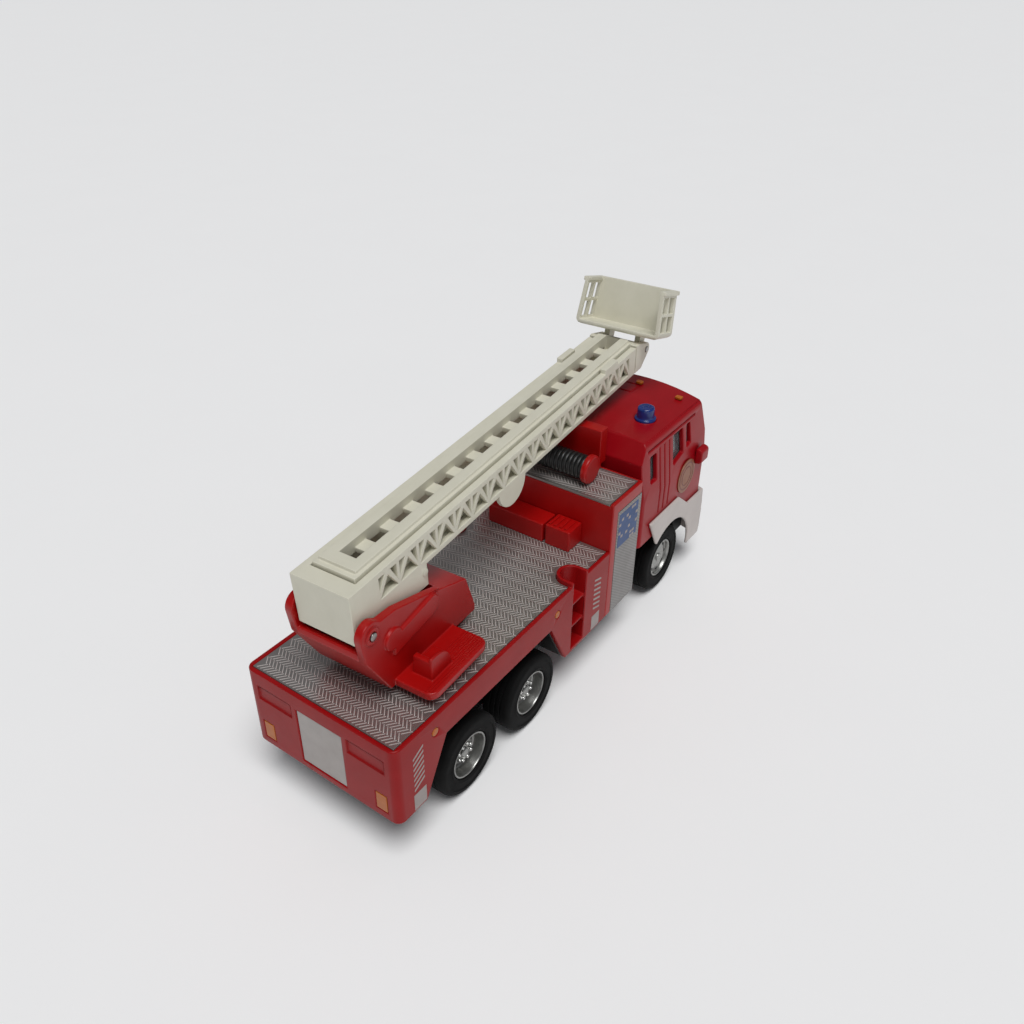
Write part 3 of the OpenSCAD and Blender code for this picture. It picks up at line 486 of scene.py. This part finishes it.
def side_stripes():
    """Printed stripe blocks at both ends of the body's sides, ruled with slanting bars, over a foot in the same ink.
    """
    skin, width, foot, foot_top, top = 0.05, 3.8, 13, 17.4, 30.2
    count, bar_height, bar_inset, first, spare = 7, 0.55, 0.3, 1.8, 2.4
    side = BODY_LO[1]
    # Each block's distance from the rear face, and the slope of its bars
    for name, place, slope in (("rear", 4.7, 0.55), ("front", 74.2, -0.3)):
        x0 = REAR + place
        ink = bmesh.new()
        add_box(ink, (x0, side - skin, foot), (x0 + width, side, foot_top))
        for k in range(count):
            z = foot_top + first + k * (top - foot_top - spare) / count
            bar = add_box(ink, (x0 + bar_inset, side - skin, z), (x0 + width - bar_inset, side, z + bar_height))
            for vert in bar:
                vert.co.z += (vert.co.x / MM - x0 - width / 2) * slope * MM
        mirrored(ink)
        settle(ink, "side_stripe_" + name, "truck", WHITE_INK, even=False)


side_stripes()


def panel_patches():
    """A plain blue patch with a few pale checks on each pump panel."""
    patch, checks = bmesh.new(), bmesh.new()
    face = PANEL_LO[1]
    x0, x1 = PANEL_LO[0] + 0.6, PANEL_HI[0] - 1.6
    z0, z1 = PANEL_HI[2] - 11.2, PANEL_HI[2] - 1.1
    patch_skin, check_skin, check_sunk, gap, check_height = 0.04, 0.07, 0.02, 0.1, 0.7
    add_box(patch, (x0, face - patch_skin, z0), (x1, face, z1))
    cells = 8
    size_x, size_z = (x1 - x0) / cells, (z1 - z0) / cells
    for i in range(cells):
        for j in range(cells):
            if (3 * i + 5 * j + i * j) % 7 in (1, 4):  # a scattered choice of cells
                x, z = x0 + i * size_x, z0 + j * size_z
                add_box(checks, (x + gap, face - check_skin, z + gap),
                        (x + size_x - gap, face - check_sunk, z + size_z * check_height))
    mirrored(patch)
    mirrored(checks)
    settle(patch, "panel_patch", "truck", BLUE_INK, even=False)
    settle(checks, "panel_checks", "truck", WHITE_INK, even=False)


panel_patches()

# ---- Hose reel ----


def hose_turns():
    """The wound hose: side-by-side turns on a plain drum."""
    low, high = corners("hose_reel")
    centre = ((low[0] + high[0]) / 2, 0.0, (low[2] + high[2]) / 2)
    bulge, turns, facets = 0.45, 16, 6
    drum = (high[0] - low[0]) / 2 - bulge
    pitch = (high[1] - low[1]) / turns
    profile = [(0.0, low[1])]
    for k in range(turns):
        for step in range(facets):
            angle = math.pi * step / facets
            profile.append((drum + bulge * math.sin(angle), low[1] + (k + (1 - math.cos(angle)) / 2) * pitch))
    profile += [(drum, high[1]), (0.0, high[1])]
    bm = bmesh.new()
    add_lathe(bm, profile, centre, 56)
    bmesh.ops.recalc_face_normals(bm, faces=bm.faces)
    settle(bm, "hose_turns", "truck", HOSE, ("hose_reel",), 70, even=False)


hose_turns()
softened("reel_flanges", RED, 0.2)

# ---- Cab ----

softened("cab_shell", CRIMSON, 0.25)
softened("front_bumper", PALE, 0.35)
softened("cab_interior", BLACK, 0.3)
softened("grille", BLACK, 0.1)
softened("headlights", STUD, 0.2)
softened("mirrors", CRIMSON, 0.3)
softened("beacons", BLUE_LENS, 0.2)
softened("roof_markers", AMBER, 0.15)
softened("door_discs", GOLD, 0.06)
NODES["cab_glazing"].data.materials.clear()
NODES["cab_glazing"].data.materials.append(CLEAR)


def disc_rings():
    """Two printed rings on each door disc."""
    low, high = corners("door_discs")
    centre = ((low[0] + high[0]) / 2, high[1], (low[2] + high[2]) / 2)
    width, sunk, proud = 0.35, -0.02, 0.05
    bm = bmesh.new()
    for radius in (4.3, 3.0):
        add_lathe(bm, [(radius, sunk), (radius, proud), (radius - width, proud), (radius - width, sunk)], centre, 56)
    bmesh.ops.recalc_face_normals(bm, faces=bm.faces)
    mirrored(bm)
    settle(bm, "disc_rings", "truck", GOLD_DARK, even=False)


disc_rings()

# ---- Turntable, ladder and bucket ----

softened("turntable", RED, 0.3)
softened("ladder_lower", IVORY, 0.16)
softened("ladder_upper", IVORY, 0.2)
softened("bucket", IVORY, 0.15)
softened("ladder_pin", STEEL, 0.15)
softened("bucket_pin", STEEL, 0.15)

# ---- Operator's platform ----

PLATFORM_RISE = 4.4  # the platform's top over the deck


def platform_ribs():
    """Fine ribs along the operator's platform, moulded to keep a figure's feet from slipping."""
    axis = JOINTS["ladder_elevation"]["axis"]
    turn = math.atan2(axis[0], -axis[1])
    top = DECK_HI[2] + PLATFORM_RISE
    count, first, pitch, width, sunk, proud = 9, -18.3, 0.62, 0.28, 0.05, 0.12
    corner_y, seat_y = -17.6, -16.6  # the ribs shorten at the rounded corners and stop short of the seat
    bm = bmesh.new()
    for k in range(count):
        y = first + k * pitch
        in_corner = y < corner_y
        front = 4.6 if in_corner else 4.9
        back = -14.2 if in_corner else (-14.6 if y < seat_y else -4.0)
        add_box(bm, (SWIVEL_X + back, y, top - sunk), (SWIVEL_X + front, y + width, top + proud))
    bmesh.ops.rotate(bm, verts=bm.verts, cent=(SWIVEL_X * MM, 0, 0), matrix=Matrix.Rotation(turn, 3, "Z"))
    settle(bm, "platform_ribs", "turntable", RED, even=False)


platform_ribs()

# ---- Wheels ----

TYRE_WIDTH = {"front_tyres": 7.0, "middle_tyres": 8.0, "rear_tyres": 8.0}
WHEEL_STEPS = 72


def tyre_profile(radius, hole, width):
    """A tyre's closed section as (radius, depth) points: bead, side wall, shoulder, three grooves and back."""
    groove, half_groove, land, shoulder_r = 0.28, 0.22, 0.3, 1.2
    shoulder = [(radius - shoulder_r + shoulder_r * math.sin(math.radians(a)),
                 shoulder_r - shoulder_r * math.cos(math.radians(a))) for a in range(0, 91, 15)]
    crown = []
    for k in range(1, 4):
        y = shoulder_r + (width - 2 * shoulder_r) * k / 4
        crown += [(radius, y - land), (radius - groove, y - half_groove),
                  (radius - groove, y + half_groove), (radius, y + land)]
    back = [(r, width - y) for r, y in reversed(shoulder)]
    bead = [(hole, 0.7), (hole + 0.25, 0.2), (hole + 0.9, 0.0), (hole + 1.15, 0.14)]
    wall = [(radius - 1.6, 0.14), (radius - 1.5, 0.0)]
    return bead + wall + shoulder + crown + back + [(hole, width), (hole, 0.7)]


def wheel_place(node):
    """A pair of wheels' right-hand face as a centre in millimetres, and the radius of the node."""
    low, high = corners(node)
    return ((low[0] + high[0]) / 2, low[1], (low[2] + high[2]) / 2), (high[2] - low[2]) / 2


def both_wheels(bm, name, node, material, stands_for=(), smooth_deg=40, even=True):
    """Turns the faces outwards, repeats the shapes on the left wheel and makes the piece."""
    bmesh.ops.recalc_face_normals(bm, faces=bm.faces)
    mirrored(bm)
    settle(bm, name, BODY_OF[node], material, stands_for, smooth_deg, even)


def tyres(node, rim_node):
    """Soft tyres with three grooves round the tread."""
    centre, radius = wheel_place(node)
    hole = wheel_place(rim_node)[1] + 0.03
    bm = bmesh.new()
    add_lathe(bm, tyre_profile(radius, hole, TYRE_WIDTH[node]), centre, 96)
    both_wheels(bm, node + "_tread", node, TYRE, (node,), 35)


def on_ring(centre, radius, turn):
    """A place on a circle round a wheel's centre, at a share of a full turn."""
    angle = 2 * math.pi * turn
    return centre[0] + radius * math.cos(angle), centre[1], centre[2] + radius * math.sin(angle)


def rear_rims(node):
    """Deep dished rims with a ring of studs round the hub."""
    centre, r = wheel_place(node)
    hub = [(0.0, 1.3), (1.0, 1.3), (1.2, 1.5), (1.2, 1.9)]
    dish = [(3.1, 2.1), (3.4, 2.8), (r - 1.0, 3.1), (r - 0.75, 2.8)]
    lip = [(r - 0.6, 0.4), (r - 0.45, 0.1), (r - 0.12, 0.1), (r, 0.35), (r, 7.2), (0.0, 7.2)]
    bm = bmesh.new()
    add_lathe(bm, hub + dish + lip, centre, WHEEL_STEPS)
    both_wheels(bm, node + "_dish", node, RIM_DARK, (node,), 35)
    studs = bmesh.new()
    for k in range(8):
        add_lathe(studs, [(0.0, 1.2), (0.3, 1.24), (0.46, 1.45), (0.46, 2.3)],
                  on_ring(centre, 2.2, (k + 0.5) / 8), 12)
    both_wheels(studs, node + "_studs", node, STUD, even=False)


def front_rims(node):
    """Shallow rims about a raised hub, with round hand holes given as black discs of painted shade."""
    centre, r = wheel_place(node)
    hub = [(0.0, 0.35), (0.8, 0.4), (1.1, 0.6), (1.2, 0.95)]
    disc = [(2.2, 1.05), (2.9, 0.75), (3.6, 0.95), (r - 1.1, 1.25), (r - 0.7, 1.1)]
    lip = [(r - 0.6, 0.35), (r - 0.45, 0.15), (r - 0.12, 0.15), (r, 0.35), (r, 6.2), (0.0, 6.2)]
    bm = bmesh.new()
    add_lathe(bm, hub + disc + lip, centre, WHEEL_STEPS)
    both_wheels(bm, node + "_face", node, RIM_LIGHT, (node,), 35)
    # Black discs on the rim's face, not cut through: painted shade standing in for the dark inside of the round hand
    # holes
    hole_shade = bmesh.new()
    for k in range(8):
        add_lathe(hole_shade, [(0.0, 1.0), (0.5, 1.0), (0.52, 1.3)], on_ring(centre, 4.1, k / 8), 16)
    both_wheels(hole_shade, node + "_hole_shade", node, BLACK, even=False)


for axle in ("front", "middle", "rear"):
    tyres(axle + "_tyres", axle + "_rims")
    softened(axle + "_axle", STEEL, 0.15)
rear_rims("middle_rims")
rear_rims("rear_rims")
front_rims("front_rims")

# ---- Studio ----

FLOOR_HALF = 4.0
FLOOR_DROP = 0.0002  # keeps the floor just under the tyres
AIM = Vector((0, 0, 0.03))


def floor():
    """A plain pale floor, wide enough to fill the view."""
    bm = bmesh.new()
    bmesh.ops.create_grid(bm, x_segments=2, y_segments=2, size=FLOOR_HALF)
    bmesh.ops.translate(bm, vec=(0, 0, -FLOOR_DROP), verts=bm.verts)
    mesh = bpy.data.meshes.new("studio_floor")
    bm.to_mesh(mesh)
    bm.free()
    material, tree, shader, place = blank("pale_floor_paper")
    finish_surface(tree, shader, place, light="#fcfcfc", dark="#fafafa", blotch_mm=40.0, rough=0.9,
                   rough_spread=0.03, grain_mm=2.0, grain_depth_mm=0.01)
    mesh.materials.append(material)
    sheet = bpy.data.objects.new("studio_floor", mesh)
    bpy.context.scene.collection.objects.link(sheet)


def lamp(name, kind, place, power):
    """A lamp at a place, aimed at the truck's middle; returns its data, for its size."""
    data = bpy.data.lights.new(name, kind)
    data.energy = power
    light = bpy.data.objects.new(name, data)
    light.location = place
    light.rotation_euler = (AIM - Vector(place)).to_track_quat("-Z", "Y").to_euler()
    bpy.context.scene.collection.objects.link(light)
    return data


def studio():
    """Soft even light from high behind the camera, a faint fill at the side and pale air."""
    floor()
    world = bpy.data.worlds.new("studio_air")
    world.use_nodes = True
    air = world.node_tree.nodes["Background"]
    air.inputs["Color"].default_value = srgb("#f4f6fb")
    air.inputs["Strength"].default_value = 0.2
    bpy.context.scene.world = world
    lamp("key_softbox", "SUN", (-0.45, -0.6, 1.9), 2.1).angle = math.radians(32)
    lamp("side_softbox", "AREA", (-0.5, -0.35, 0.3), 0.12).size = 0.4
    bpy.context.scene.view_settings.view_transform = "Standard"


def camera():
    """The view from above the right rear corner."""
    yaw, pitch, roll = 0.60884, -0.58079, 0.013316  # radians
    eye_mm = Vector((REAR - 83.192, -105.513, 165.719))
    ahead = Vector((math.cos(pitch) * math.cos(yaw), math.cos(pitch) * math.sin(yaw), math.sin(pitch)))
    right = Vector((math.sin(yaw), -math.cos(yaw), 0))
    up = right.cross(ahead)
    turned_right = math.cos(roll) * right + math.sin(roll) * up
    turned_up = math.cos(roll) * up - math.sin(roll) * right
    data = bpy.data.cameras.new("view_camera")
    data.lens = 31.56
    data.sensor_width = 36.0
    data.clip_start = 0.01
    eye = bpy.data.objects.new("view_camera", data)
    basis = Matrix((turned_right, turned_up, -ahead)).transposed().to_4x4()
    basis.translation = eye_mm * MM
    eye.matrix_world = basis
    bpy.context.scene.collection.objects.link(eye)
    bpy.context.scene.camera = eye


studio()
camera()
